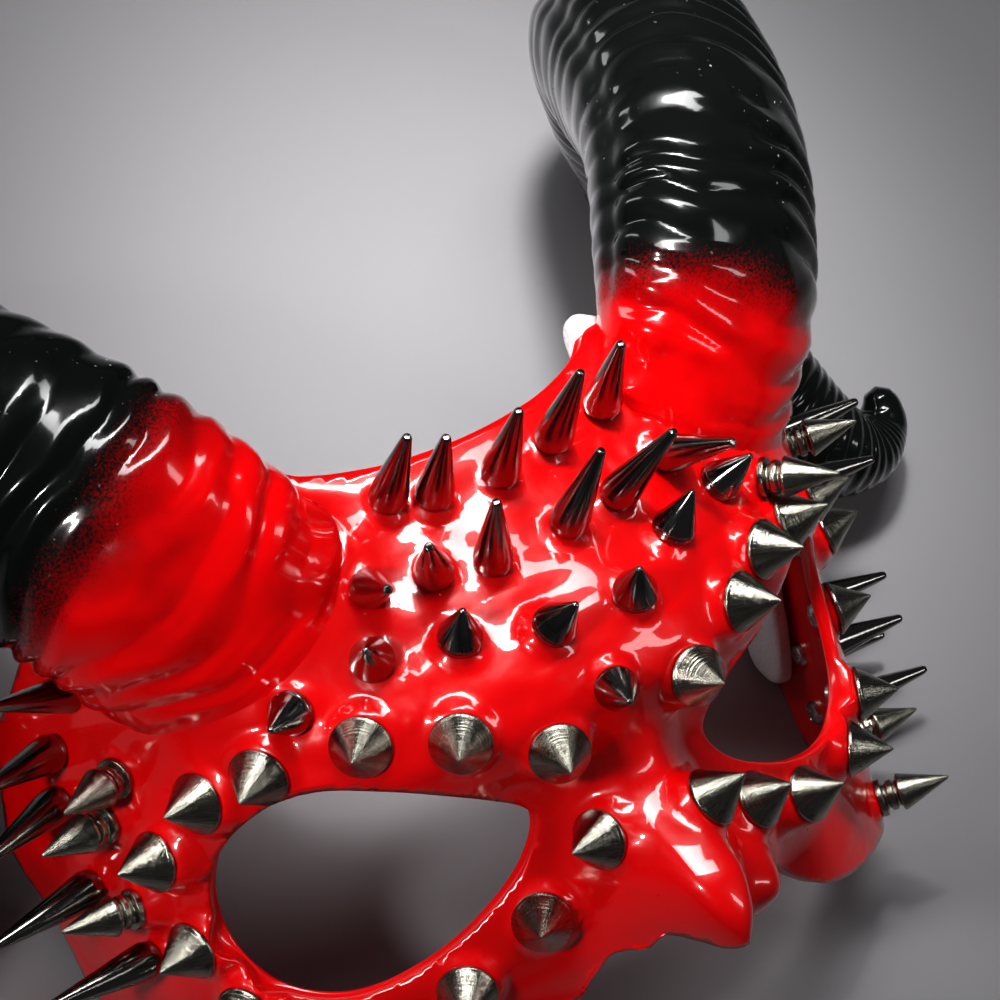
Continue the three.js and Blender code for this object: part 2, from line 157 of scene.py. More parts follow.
def nose_at(x, angle, height, thinner):
    half = nose_half(height) - thinner * 0.7
    slope = (half - np.abs(x)) / (half - nose_back(height))
    slope = 0.5 * (slope + np.sqrt(slope ** 2 + NOSE_SOFTNESS ** 2))
    slope = 0.5 * (slope + 1 - np.sqrt((slope - 1) ** 2 + NOSE_SOFTNESS ** 2))
    out = np.maximum(0, nose_reach(height) - thinner) * np.clip(slope, 0, 1) ** 1.2
    for middle, level, reach, wide, tall in NOSE_WINGS:
        out = out + reach * np.exp(-(((angle - middle) / wide) ** 2) - ((height - level) / tall) ** 2)
    return out


def face(angle, height, lift=0.0):
    angle, height = np.broadcast_arrays(np.asarray(angle, float), np.asarray(height, float))
    point = cheek(angle, height)
    nose = nose_at(point[..., 0], angle, height, 2.2 if lift < -SKIN / 2 else 0)
    point = point + cheek_normal(angle, height) * lift
    point[..., 1] -= nose
    return point


def skin_normal(angle, height):
    across = face(angle + 0.3, height) - face(angle - 0.3, height)
    up = face(angle, height + 0.3) - face(angle, height - 0.3)
    return unit(np.cross(across, up))


print("face across the temples", round(float(2 * cheek(np.array(SIDE_ANGLE), 0.0)[0]), 1), "mm")

# %% [markdown]
# ## Making a mesh object
# Every piece below ends the same way: points and faces go into a mesh, the mesh gets its finish,
# the object rides on the part's one body, and the solid it stands for is hidden.

# %% Pieces
finishes = {}
made = []


def piece(name, points, faces, finish, stands_for=(), place=None, smooth_shade=True):
    mesh = bpy.data.meshes.new(name)
    mesh.from_pydata(np.asarray(points).tolist(), [], [tuple(int(i) for i in f) for f in faces])
    mesh.validate()
    mesh.polygons.foreach_set("use_smooth", [smooth_shade] * len(mesh.polygons))
    mesh.update()
    thing = bpy.data.objects.new(name, mesh)
    bpy.context.collection.objects.link(thing)
    if place is not None:
        thing.matrix_world = place
    mesh.materials.append(finishes[finish])
    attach(thing, "root")
    if stands_for:
        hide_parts(*([stands_for] if isinstance(stands_for, str) else stands_for))
    made.append(thing)
    return thing


# %% [markdown]
# ## Shader sums
# Grain and wear are sums of noises and masks. Written as node clicks they are hard to read, so
# one small class wraps a socket and lets plain expressions add the Math nodes: 1 - mask works.
# Any other node comes from one method that sets the node up first and then fills its sockets,
# from plain values or from other wires.

# %% The wire class
class Wire:
    def __init__(self, tree, socket=None):
        self.tree, self.socket = tree, socket

    def node(self, kind, settings=None, sockets=None, out=0):
        made_node = self.tree.nodes.new(kind)
        for name, value in (settings or {}).items():
            setattr(made_node, name, value)
        for name, value in (sockets or {}).items():
            if isinstance(value, Wire):
                self.tree.links.new(value.socket, made_node.inputs[name])
            else:
                made_node.inputs[name].default_value = value
        return Wire(self.tree, made_node.outputs[out])

    def sum(self, operation, *values):
        return self.node("ShaderNodeMath", {"operation": operation}, dict(enumerate((self,) + values)))

    def __add__(self, other):
        return self.sum("ADD", other)

    def __mul__(self, other):
        return self.sum("MULTIPLY", other)

    def __sub__(self, other):
        return self.sum("SUBTRACT", other)

    def __rsub__(self, other):
        return self.node("ShaderNodeMath", {"operation": "SUBTRACT"}, {0: other, 1: self})

    __radd__ = __add__
    __rmul__ = __mul__

    def between(self, low, high):
        return self.node("ShaderNodeMapRange", {"interpolation_type": "SMOOTHSTEP"},
                         {"Value": self, "From Min": low, "From Max": high, "To Min": 0.0, "To Max": 1.0})

    def mix(self, colour_a, colour_b):
        return self.node("ShaderNodeMix", {"data_type": "RGBA"}, {0: self, 6: colour_a, 7: colour_b}, 2)


# %% Starting a finish
def start_finish(name):
    material = bpy.data.materials.new(name)
    material.use_nodes = True
    tree = material.node_tree
    shader = tree.nodes["Principled BSDF"]
    finishes[name] = material
    return Wire(tree), shader


def feed(shader, **values):
    for name, value in values.items():
        socket = shader.inputs[name.replace("_", " ")]
        if isinstance(value, Wire):
            value.tree.links.new(value.socket, socket)
        else:
            socket.default_value = value


def speckle(wire, where, scale, detail=2.0, rough=0.5):
    return wire.node("ShaderNodeTexNoise", {"noise_dimensions": "3D"},
                     {"Vector": where, "Scale": scale, "Detail": detail, "Roughness": rough}, 0)


def relief(wire, height, strength, distance):
    return wire.node("ShaderNodeBump", None, {"Height": height, "Strength": strength, "Distance": distance})


# %% [markdown]
# ## Red lacquer
# The face is sprayed a saturated red and finished with a thick clear coat. The coat is what one
# sees: it pools into soft lumps, so highlights break into wandering pale patches. The red itself
# only darkens a little where the spray was thin. A coat on top of a slightly rough base gives
# both the deep colour and the sharp reflection.

# %% Red lacquer
RED = (0.86, 0.0, 0.002, 1)
DEEP_RED = (0.50, 0.0, 0.001, 1)
wire, shader = start_finish("red lacquer")
where = wire.node("ShaderNodeTexCoord", None, None, 3)
thin = speckle(wire, where, 38.0, 3.0).between(0.42, 0.72)
pools = speckle(wire, where, 95.0, 2.0)
ripples = speckle(wire, where, 330.0, 2.0)
peel = speckle(wire, where, 900.0, 2.0)
feed(shader, Base_Color=(thin * 0.5).mix(RED, DEEP_RED),
     Roughness=0.24 + 0.12 * speckle(wire, where, 260.0, 3.0),
     Coat_Weight=1.0, Coat_Roughness=0.03, Coat_IOR=1.55, Specular_IOR_Level=0.3,
     Normal=relief(wire, pools * 1.5 + ripples * 0.3 + peel * 0.03, 0.5, 0.0004))
print("finish", list(finishes)[-1])

# %% [markdown]
# ## Horn lacquer
# The horns are gloss black. At the root the black was dusted over the red from an airbrush, so
# the red first darkens and then breaks into fine dots, and a little white dust has settled in
# the black. A number stored on the mesh, the distance along the horn, says where that band runs.
# On the right horn the red goes further, so there the stored number is less by that much.

# %% Horn lacquer
FADE_START, FADE_END = 24.5, 33.5      # millimetres along the horn
wire, shader = start_finish("horn lacquer")
where = wire.node("ShaderNodeTexCoord", None, None, 3)
along = wire.node("ShaderNodeAttribute", {"attribute_name": "along"}, None, 2)
cloud = (speckle(wire, where, 60.0, 3.0) - 0.5) * 9.0
dots = (speckle(wire, where, 1900.0, 2.0, 0.6) - 0.5) * 13.0
mist = (along + cloud).between(FADE_START - 3.0, FADE_END)
black = (along + cloud + dots).between(FADE_START + 2.5, FADE_END + 1.0)
dusty = speckle(wire, where, 45.0, 2.0).between(0.45, 0.65)
dust = speckle(wire, where, 1150.0, 0.0).between(0.80, 0.84) * dusty * black
bare_red = speckle(wire, where, 50.0, 3.0).between(0.4, 0.75).mix(RED, DEEP_RED)
red_under = (mist * 0.85).mix(bare_red, (0.09, 0.0, 0.002, 1))
colour = dust.mix(black.mix(red_under, (0.004, 0.005, 0.0045, 1)), (0.40, 0.41, 0.40, 1))
uneven = speckle(wire, where, 120.0, 2.0) + 0.05 * speckle(wire, where, 900.0, 2.0)
feed(shader, Base_Color=colour, Roughness=0.22 + 0.35 * dust, Coat_Weight=1.0, Coat_Roughness=0.08,
     Coat_IOR=1.48, Specular_IOR_Level=0.15,
     Normal=relief(wire, uneven, 0.4, 0.0004))
print("finish", list(finishes)[-1])

# %% [markdown]
# ## Plated studs
# The wide cones are nickel over a turned blank: the tool left fine rings and the polish left
# streaks that run from rim to tip, so they flash in narrow rays. Those rays are also painted
# into the base colour as darker bands between the streaks, a painted reflection, beside real
# spots of wear. The slender and collared spikes are smooth black nickel and mirror the red around
# them. All read the piece's own coordinates, with the axis of the stud along Z. One function makes
# them, with the colour, the darker colour of the painted rays and the wear, the least and most
# roughness, and the depths of rays, rings and of the painted rays and wear.

# %% Nickel and black nickel
def plated(name, colour, ray_paint_and_wear_colour, low, high, rays, turned, ray_paint_and_wear_strength):
    wire, shader = start_finish(name)
    where = wire.node("ShaderNodeTexCoord", None, None, 3)
    parts = wire.node("ShaderNodeSeparateXYZ", None, {0: where})
    x, y, z = (Wire(wire.tree, out) for out in parts.socket.node.outputs)
    turn = y.sum("ARCTAN2", x)
    ray_place = wire.node(
        "ShaderNodeCombineXYZ", None, {"X": turn * 11.0, "Y": z * 180.0, "Z": turn.sum("COSINE") * 2.0})
    streak = speckle(wire, ray_place, 2.2, 3.0, 0.7)
    grain = speckle(wire, where, 2400.0, 2.0, 0.7)
    ring = speckle(wire, wire.node("ShaderNodeCombineXYZ", None, {"X": z * 9000.0}), 1.0, 1.0)
    spots = speckle(wire, where, 420.0, 3.0).between(0.62, 0.72)
    # painted reflection: the base colour darkens in rays between the polish streaks; the spots are wear
    painted_rays_and_wear = (streak.between(0.62, 0.38) * 0.55 + spots * 0.4) * ray_paint_and_wear_strength
    feed(shader, Base_Color=painted_rays_and_wear.mix(colour, ray_paint_and_wear_colour), Metallic=1.0,
         Roughness=low + (high - low) * streak + spots * 0.1 * ray_paint_and_wear_strength,
         Normal=relief(wire, streak * rays + ring * turned + grain * 0.2, 0.5, 0.00006))


plated("nickel", (0.46, 0.44, 0.38, 1), (0.10, 0.09, 0.07, 1), 0.08, 0.22, 1.6, 1.2, 1.0)
plated("black nickel", (0.30, 0.285, 0.275, 1), (0.12, 0.11, 0.10, 1), 0.05, 0.13, 0.3, 0.3, 0.3)
plated("screw steel", (0.52, 0.51, 0.49, 1), (0.25, 0.23, 0.2, 1), 0.2, 0.38, 0.3, 0.3, 0.8)
print("plated finishes", list(finishes)[-3:])

# %% [markdown]
# ## Foam
# The pads are soft white foam. Close to, it shows cells and a few grey specks, and its surface
# dips a little where the strip was pressed on.

# %% Foam
wire, shader = start_finish("white foam")
where = wire.node("ShaderNodeTexCoord", None, None, 3)
cells = wire.node("ShaderNodeTexVoronoi", {"feature": "F1"}, {"Vector": where, "Scale": 1300.0})
specks = speckle(wire, where, 1900.0, 1.0).between(0.68, 0.74)
soft = speckle(wire, where, 90.0, 3.0)
feed(shader, Base_Color=(specks * 0.6).mix((0.62, 0.60, 0.61, 1), (0.32, 0.31, 0.32, 1)),
     Roughness=0.85 + 0.1 * soft, Normal=relief(wire, cells * 0.6 + soft * 1.2, 0.5, 0.0004))
print("finishes", list(finishes))

# %% [markdown]
# ## Where the studs stand
# The detailed studs must stand exactly on the seats of their solids, and the skin must meet
# them. A stud's solid has one large flat of many triangles, its seat: its sides have two each and
# the flat of its tip is small. So the seat's middle and the way it faces are read off the solid
# itself instead of being worked out twice.

# %% Seats of the studs
def seat_of(node):
    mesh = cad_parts[node].data
    flats = {}
    for polygon in mesh.polygons:
        key = tuple(round(v, 2) for v in polygon.normal)
        parts, total, middle = flats.get(key, (0, 0.0, Vector((0, 0, 0))))
        flats[key] = (parts + 1, total + polygon.area, middle + polygon.center * polygon.area)
    key = max(flats, key=lambda k: (flats[k][0] > 4, flats[k][1]))
    parts, total, middle = flats[key]
    down = Vector(key).normalized()
    radius = math.sqrt(total / math.pi)
    return middle / total, -down, radius


STUD_WORDS = ("spike", "stud")
seats = {name: seat_of(name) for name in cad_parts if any(word in name for word in STUD_WORDS)}
print("studs", len(seats), "widest seat", round(2000 * max(s[2] for s in seats.values()), 1), "mm")

# %% [markdown]
# ## The horns
# A ram's horn grows in rings: each year's growth overlaps the one before, so in section the
# surface climbs slowly and steps back. The rings wander, fork and fade on the side that rubs
# against the head. A middle line is swept from the root round the loop to the hooked tip, its
# section is shaped from half depths and half thicknesses, and the ring relief is added along
# each of many fine sections.

# %% The line of a horn
HORN = np.array([
    (42, 33, 27, 13, 10), (47, 30.5, 35.5, 20.5, 13), (51.5, 29.6, 44, 24.4, 15), (57, 31, 53, 25.4, 16.8),
    (63.5, 36, 63, 25, 17.8), (72.5, 46.5, 75, 24.6, 18.6), (80.5, 62.5, 83.5, 24.2, 19.8),
    (90, 84, 87.5, 23.6, 20.4), (98.5, 98.5, 75, 22.3, 20.3), (103, 104.5, 59.5, 20.5, 19),
    (101, 101, 44.5, 18.5, 17.3), (95.5, 93, 31, 17, 15.8), (92, 85.5, 20, 16, 15.2),
    (96, 81, 9.5, 13.6, 13.6), (103, 77.5, 0, 10.8, 10.8), (111.5, 77.5, -5, 7.6, 7.6),
    (119, 80, -3.5, 5.8, 5.8), (121, 80.5, 0.5, 4.5, 4.5), (121, 80.5, 4, 2.8, 2.8)])
DEPTH_WAY = np.array((-0.482, -0.463, 0.743))


def through(rows, places):
    """A smooth curve through rows, read at places from 0 to 1."""
    spans = len(rows) - 1
    k = np.clip((places * spans).astype(int), 0, spans - 1)
    t = (places * spans - k)[:, None]
    padded_rows = np.vstack([2 * rows[0] - rows[1], rows, 2 * rows[-1] - rows[-2]])
    before, here, after, beyond = (padded_rows[k + j] for j in range(4))
    first, last = (after - before) / 2, (beyond - here) / 2
    return ((2 * t ** 3 - 3 * t ** 2 + 1) * here + (t ** 3 - 2 * t ** 2 + t) * first
            + (3 * t ** 2 - 2 * t ** 3) * after + (t ** 3 - t ** 2) * last)


fine = through(HORN, np.linspace(0, 1, 4001))
run = np.r_[0, np.cumsum(np.linalg.norm(np.diff(fine[:, :3], axis=0), axis=1))]
HORN_LENGTH = run[-1]
STATIONS, SIDES = 520, 96
marks = np.linspace(0, HORN_LENGTH, STATIONS)
line = np.stack([np.interp(marks, run, fine[:, k]) for k in range(5)], 1)
heading = unit(np.gradient(line[:, :3], axis=0))
up_way = np.zeros_like(heading)
carried = DEPTH_WAY.copy()
for i, way in enumerate(heading):
    carried = carried - way * (carried @ way)
    carried = carried / np.linalg.norm(carried)
    up_way[i] = carried
aside_way = np.cross(heading, up_way)
print("horn", round(HORN_LENGTH), "mm round the loop, deepest", round(2 * HORN[:, 3].max()), "mm")

# %% [markdown]
# The ring pattern is one number per place: how many rings lie before it. It grows faster where
# the horn is thin, a slow noise makes the rings wander, and its fraction gives the climb and the
# step. Smaller wrinkles ride on the rings. The rings fade where the horn comes near the face, so
# the formula of the face is asked how far outside it each place is. A long groove parts the
# smooth flank from the ringed one.

# %% Rings, wrinkles and the smooth flank
def noise_of(points, size, seed):
    return np.array([noise.noise(Vector(p) / size + Vector((seed, seed * 1.7, -seed))) for p in points])


def outside_by(points):
    x, y, z = points[:, 0], points[:, 1], points[:, 2]

    def level(x_at, y_at, z_at):
        front, wide = profile(z_at), half_width(z_at)
        return np.sqrt((x_at / wide) ** 2 + ((SIDE_DEPTH - y_at) / (SIDE_DEPTH - front)) ** 2)

    value = level(x, y, z)
    step = 0.5
    beyond = np.stack([level(x + step, y, z), level(x, y + step, z), level(x, y, z + step)], 1)
    slope = beyond - value[:, None]
    return (value - 1) * step / np.linalg.norm(slope, axis=1), unit(slope)


RING_PITCH = 0.24              # one ring, in half depths of the horn
ROOT_PITCH = 0.05              # so much more near the root
RING_HEIGHT = 0.045            # these three are in half widths of the horn
WRINKLE_HEIGHT = 0.005
GROOVE_DEPTH = 0.04
angle_round = np.linspace(0, 2 * np.pi, SIDES, endpoint=False)
pitch = RING_PITCH + ROOT_PITCH * (1 - smooth(22, 45, marks))
ring_count = np.cumsum(np.gradient(marks) / (pitch * np.maximum(line[:, 3], 6)))


def section(deep, thick):
    """Points round every station of the horn, from its half depths and half thicknesses."""
    return (up_way[:, None] * (np.cos(angle_round)[None, :] * deep)[..., None]
            - aside_way[:, None] * (np.sin(angle_round)[None, :] * thick)[..., None])


flat_place = (line[:, None, :3] + section(line[:, 3][:, None], line[:, 4][:, None])).reshape(-1, 3)
wander = noise_of(flat_place, 21.0, 5.0).reshape(STATIONS, SIDES)
fork = noise_of(flat_place, 9.0, 15.0).reshape(STATIONS, SIDES)
small = noise_of(flat_place, 4.0, 31.0).reshape(STATIONS, SIDES)
count_here = ring_count[:, None] + 0.75 * wander + 0.2 * fork
part = count_here - np.floor(count_here)
climb = 0.6 * np.sin(np.pi * part) + 0.4 * (0.5 - 0.5 * np.cos(2 * np.pi * part)) + 0.15 * (part - 0.5)
strength = 0.95 + 0.9 * noise_of(flat_place, 15.0, 51.0).reshape(STATIONS, SIDES)
wrinkle = 0.5 + 0.5 * np.sin(2 * np.pi * (2 * count_here + 1.1 * fork))
tip_calm = 1 - smooth(HORN_LENGTH - 14, HORN_LENGTH - 4, marks)[:, None]
round_here = (angle_round[None] + np.pi) % (2 * np.pi) - np.pi
flank = smooth(0.0, 0.3, round_here) * (1 - smooth(1.1, 1.6, round_here))
groove = np.exp(-(((round_here + 0.1 * wander - 0.3) / 0.13) ** 2)) * smooth(20, 34, marks)[:, None]
size = np.sqrt(line[:, 3] * line[:, 4])[:, None]
clear_of_face = outside_by(flat_place)[0].reshape(STATIONS, SIDES)
ring_height = RING_HEIGHT * strength.clip(0.35, 1.6) * smooth(-0.5, 5, clear_of_face) * (1 - 0.6 * flank)
wrinkle_height = WRINKLE_HEIGHT * (1 - 0.7 * flank)
carved = (ring_height * (climb - 0.5) + wrinkle_height * (wrinkle - 0.5)
          - GROOVE_DEPTH * groove + 0.003 * small + 0.02 * wander)
lift = size * carved * tip_calm
print("rings", round(float(ring_count[-1])), "step", round(float(np.ptp(lift)), 2), "mm")

# %% [markdown]
# At the root the horn has been smoothed into the forehead with filler, so the two meet in a wide
# hollow. A soft union does the same: where two surfaces come near each other, both are lifted,
# most where they meet and nothing beyond a set distance. The formula of the face gives one
# distance, and a search tree of the horn gives the skin its own.

# %% The hollow at the root
BLEND = 15.0           # reach of the filler
RIM_FADE = (0.3, 9)    # it grows between these distances below the upper rim
ROOT_COVER = 0.6       # wall of the face that is left behind the root


def blended(normals, distance, other_normals):
    """How far and which way one surface is lifted where another surface is near."""
    near_by = np.clip(distance, -BLEND / 4, BLEND)
    height = (BLEND - near_by) ** 2 / (4 * BLEND)
    share = 0.5 - 0.5 * near_by / BLEND
    way = normals * (1 - share)[:, None] + other_normals * share[:, None]
    return unit(way) * height[:, None]


depth_here = line[:, 3][:, None] + lift
thick_here = line[:, 4][:, None] + lift
around = section(depth_here, thick_here)
bare_horn = line[:, None, :3] + around
clear, skin_way = outside_by(bare_horn.reshape(-1, 3))
filler = blended(unit(around).reshape(-1, 3), clear, skin_way).reshape(bare_horn.shape)
x, y, z = np.moveaxis(bare_horn, -1, 0)
turn_here = np.degrees(np.arctan2(x / half_width(z), (SIDE_DEPTH - y) / (SIDE_DEPTH - profile(z))))
below_rim = smooth(*RIM_FADE, upper_edge(np.abs(turn_here)) - z)
filler_share = (1 - smooth(40, 55, marks))[:, None] * below_rim
filler = filler * filler_share[..., None]
horn_points = (bare_horn + filler).reshape(-1, 3)
for again in range(3):          # the root ends inside the wall of the face, out of sight
    clear, skin_way = outside_by(horn_points)
    horn_points = horn_points + skin_way * np.maximum(0.0, ROOT_COVER - SKIN - clear)[:, None]
horn_points = horn_points.reshape(bare_horn.shape)
print("filler at the root", round(float(np.linalg.norm(filler, axis=-1).max()), 1), "mm")

# %% The horns
def bands(rows_between, sides):
    """Quads between rings of points that follow one another, and the last ring's start."""
    ring, after = np.arange(sides), np.roll(np.arange(sides), -1)
    start = (np.arange(rows_between) * sides)[:, None]
    quads = np.stack([start + ring, start + after, start + sides + after, start + sides + ring], -1)
    return quads.reshape(-1, 4), ring, after, rows_between * sides


root_rows = int(np.searchsorted(marks, 60))
root_quads = bands(root_rows, SIDES)[0].tolist()
root_tree = BVHTree.FromPolygons(bare_horn[:root_rows + 1].reshape(-1, 3).tolist(), root_quads)


def horn(name, side, node, red_further):
    points = horn_points * [side, 1, 1]
    tip = line[-1, :3] * [side, 1, 1] + heading[-1] * [side, 1, 1] * 1.5
    root = points[0].mean(0)
    flat = lay(np.vstack([points.reshape(-1, 3), tip, root]))
    flat[:, 2] = np.maximum(flat[:, 2], 0.0)          # it rests on a small flat
    quads, ring, after, end = bands(STATIONS - 1, SIDES)
    tip_fan = np.stack([end + ring, end + after, np.full(SIDES, len(flat) - 2)], 1)
    root_fan = np.stack([after, ring, np.full(SIDES, len(flat) - 1)], 1)
    faces = [q for group in (quads, tip_fan, root_fan) for q in (group if side < 0 else group[:, ::-1])]
    thing = piece(name, flat, faces, "horn lacquer", node)
    stored = thing.data.attributes.new("along", "FLOAT", "POINT")
    stored.data.foreach_set("value", np.r_[np.repeat(marks, SIDES), HORN_LENGTH, 0.0] - red_further)
    return thing


# name, side, solid, and how much further the red reaches, in millimetres
HORNS = (("ram_horn_left", 1, "horn_left", 0.0), ("ram_horn_right", -1, "horn_right", 9.5))
for name, side, node, red_further in HORNS:
    thing = horn(name, side, node, red_further)
    print(name, len(thing.data.polygons), "faces")

# %% [markdown]
# ## The skin
# The outline of the face and the two eye openings are drawn flat, as angle and height, and
# filled with triangles of even size. The flat drawing is then bent onto the outer skin and, a
# wall thickness in, onto the inner skin, and a round lip joins the two along every edge. This
# gives clean round lips, which a boolean cut would leave ragged.

# %% The eye outlines
EYE = [
    (11.9, -7.7), (12.9, -4), (17.8, 1), (24.5, 6.3), (30.7, 9.9), (36.8, 12), (42.3, 11.2),
    (47.6, 6), (50.3, -4.1), (49.7, -14.4), (44.6, -24.2), (36.5, -28.3), (28.1, -26.3),
    (20.1, -20.9), (14.3, -14.3)]


def ring_through(points, per_span):
    """A closed curve through points, eased by the distance between them."""
    points = np.array(points, float)
    count = len(points)
    rows = []
    for i in range(count):
        p = [points[(i + k) % count] for k in (-1, 0, 1, 2)]
        gap = [max(np.linalg.norm(p[k + 1] - p[k]) ** 0.5, 1e-6) for k in range(3)]
        speed = [(p[k + 1] - p[k]) / gap[k] for k in range(3)]
        first = (speed[0] - (p[2] - p[0]) / (gap[0] + gap[1]) + speed[1]) * gap[1]
        last = (speed[1] - (p[3] - p[1]) / (gap[1] + gap[2]) + speed[2]) * gap[1]
        for t in np.arange(per_span) / per_span:
            rows.append(
                (2 * t ** 3 - 3 * t ** 2 + 1) * p[1] + (t ** 3 - 2 * t ** 2 + t) * first
                + (3 * t ** 2 - 2 * t ** 3) * p[2] + (t ** 3 - t ** 2) * last)
    return np.array(rows)


left_eye = ring_through(EYE, 9)
right_eye = left_eye * [-1, 1]
print("eye opening", round(float(np.ptp(cheek(left_eye[:, 0], left_eye[:, 1])[:, 0])), 1), "mm across")

# %% The flat drawing of the face
DEGREE = 1.42          # millimetres of skin to one degree, on average
GRAIN = 1.1            # side of one triangle


def even_outline():
    across = np.linspace(-SIDE_ANGLE, SIDE_ANGLE, 2000)
    top = np.stack([across, upper_edge(np.abs(across))], 1)
    back = across[::-1]
    low = np.stack([back, np.where(back > 0, lower_left(back), lower_right(-back))], 1)
    sides = [np.linspace(top[-1], low[0], 200)[1:-1], np.linspace(low[-1], top[0], 200)[1:-1]]
    loop = np.concatenate([top, sides[0], low, sides[1]])
    flat = loop * [DEGREE, 1]
    run = np.r_[0, np.cumsum(np.linalg.norm(np.diff(np.r_[flat, flat[:1]], axis=0), axis=1))]
    marks = np.linspace(0, run[-1], int(run[-1] / GRAIN), endpoint=False)
    closed = np.r_[loop, loop[:1]]
    return np.stack([np.interp(marks, run, closed[:, k]) for k in (0, 1)], 1)


def inside(points, loop):
    x, y = points[:, 0], points[:, 1]
    hit = np.zeros(len(points), bool)
    for (ax, ay), (bx, by) in zip(loop, np.roll(loop, -1, 0)):
        crosses = (ay > y) != (by > y)
        hit ^= crosses & (x < (bx - ax) * (y - ay) / ((by - ay) if by != ay else 1e-12) + ax)
    return hit


outline = even_outline()
loops = [outline * [DEGREE, 1], left_eye * [DEGREE, 1], right_eye * [DEGREE, 1]]
rng = np.random.default_rng(7)
rows = np.arange(-62, 60, GRAIN * 0.866)
columns = np.arange(-SIDE_ANGLE * DEGREE, SIDE_ANGLE * DEGREE, GRAIN)
grid = np.stack(np.meshgrid(columns, rows), -1)
grid[1::2, :, 0] += GRAIN / 2
grid = grid.reshape(-1, 2) + rng.uniform(-0.12, 0.12, (grid.size // 2, 2))
keep = inside(grid, loops[0]) & ~inside(grid, loops[1]) & ~inside(grid, loops[2])
grid = grid[keep]
edge_points = np.concatenate(loops)
near = np.full(len(grid), np.inf)
for chunk in np.array_split(edge_points, 12):
    near = np.minimum(near, np.min(np.linalg.norm(grid[:, None] - chunk[None], axis=2), axis=1))
grid = grid[near > GRAIN * 0.55]
print("points inside the outline", len(grid))

# %% Triangles between them
flat_points = np.concatenate([edge_points, grid])
starts = np.r_[0, np.cumsum([len(loop) for loop in loops])]
rims = [list(range(starts[i], starts[i + 1])) for i in range(3)]
rim_edges = [(rim[i], rim[(i + 1) % len(rim)]) for rim in rims for i in range(len(rim))]
result = delaunay_2d_cdt([Vector(p) for p in flat_points], rim_edges, [], 0, 1e-6)
assert len(result[0]) == len(flat_points), "the drawing gained points"
triangles = np.array([[result[3][i][0] for i in face_row] for face_row in result[2]])
middles = flat_points[triangles].mean(1)
keep = inside(middles, loops[0]) & ~inside(middles, loops[1]) & ~inside(middles, loops[2])
triangles = triangles[keep]
across = flat_points[triangles[:, 1]] - flat_points[triangles[:, 0]]
along_side = flat_points[triangles[:, 2]] - flat_points[triangles[:, 0]]
turned_over = across[:, 0] * along_side[:, 1] - across[:, 1] * along_side[:, 0] < 0
triangles[turned_over] = triangles[turned_over][:, ::-1]
print("triangles on one side", len(triangles))

# %% [markdown]
# ## Lumps and folds of the skin
# The moulding was modelled by hand before it was cast: the forehead is knotted with shallow
# creases, the brow rolls gently, and the cheeks are calmer. Three noises make the lumps and a
# ridged one the creases, and all of it fades to nothing at the edges of the face, so that the
# lips stay even. Near a horn's root the skin is lifted as well, to meet the filler.

# %% Relief of the outer skin
angle, height = flat_points[:, 0] / DEGREE, flat_points[:, 1]
outer = face(angle, height)
inner = face(angle, height, -SKIN)
outward = skin_normal(angle, height)
brow = smooth(4, 20, height) * (1 - smooth(34, 50, np.abs(angle)))
lumps = noise_of(outer, 13.0, 3.0)
knots = noise_of(outer, 4.5, 11.0)
folds = (1 - np.abs(noise_of(outer * [1, 1, 1.4], 10.0, 21.0)) * 5).clip(0, 1) ** 2
drips = smooth(0.05, 0.3, noise_of(outer, 16.0, 33.0))
waves = noise_of(outer * [0.7, 1, 1.3], 7.5, 61.0)
brow_carving = 0.34 * waves + 0.08 * knots + 0.35 * folds * drips
carving = 0.36 * lumps + brow * brow_carving + 0.12 * waves + 0.03 * knots
rim_fade = np.ones(len(flat_points))
rim_fade[:len(edge_points)] = 0
gap = np.full(len(grid), np.inf)
for chunk in np.array_split(edge_points, 12):
    gap = np.minimum(gap, np.min(np.linalg.norm(grid[:, None] - chunk[None], axis=2), axis=1))
rim_fade[len(edge_points):] = smooth(0.5, 5, gap)
outer = outer + outward * (carving * rim_fade)[:, None]
mirrored = outer * np.where(outer[:, :1] < 0, [[-1, 1, 1]], [[1, 1, 1]])
to_horn = np.full(len(outer), BLEND)
horn_way = np.zeros_like(outer)
near_root = (mirrored[:, 0] > 15) & (height > 5)      # the rest is far from any horn
for i in np.nonzero(near_root)[0]:
    touch, facing, index, gap_here = root_tree.find_nearest(Vector(mirrored[i]))
    away = mirrored[i] - np.array(touch)
    core = line[np.argmin(np.linalg.norm(line[:, :3] - np.array(touch), axis=1)), :3]
    facing = np.array(facing) * np.sign(np.dot(facing, np.array(touch) - core))
    to_horn[i] = gap_here * (1 if away @ facing > 0 else -1)
    horn_way[i] = facing * (1 if outer[i, 0] > 0 else [-1, 1, 1])
hollow = blended(outward, to_horn, horn_way)
hollow_fade = np.r_[np.zeros(len(edge_points)), smooth(*RIM_FADE, gap)]
outer = outer + hollow * ((to_horn < BLEND) * hollow_fade)[:, None]
print("relief of the skin", round(float(np.ptp(carving * rim_fade)), 2), "mm")

# %% The skin meets the studs
SEAT_REACH = 1.4       # how far round a seat the skin is drawn to it, in radii of the seat
SEAT_DEPTH = 0.006     # and how deep, in metres
SEAT_GAP = 0.00005     # the skin ends this much below the seat
outer_lying = lay(outer)
for middle, axis, radius in seats.values():
    away = outer_lying - np.array(middle)
    rise = away @ np.array(axis)
    reach = np.linalg.norm(away - rise[:, None] * np.array(axis), axis=1)
    pull = (1 - smooth(radius, radius * SEAT_REACH, reach)) * (np.abs(rise) < SEAT_DEPTH)
    outer_lying += np.array(axis) * (pull * (-SEAT_GAP - rise))[:, None]
print("skin drawn to", len(seats), "seats")

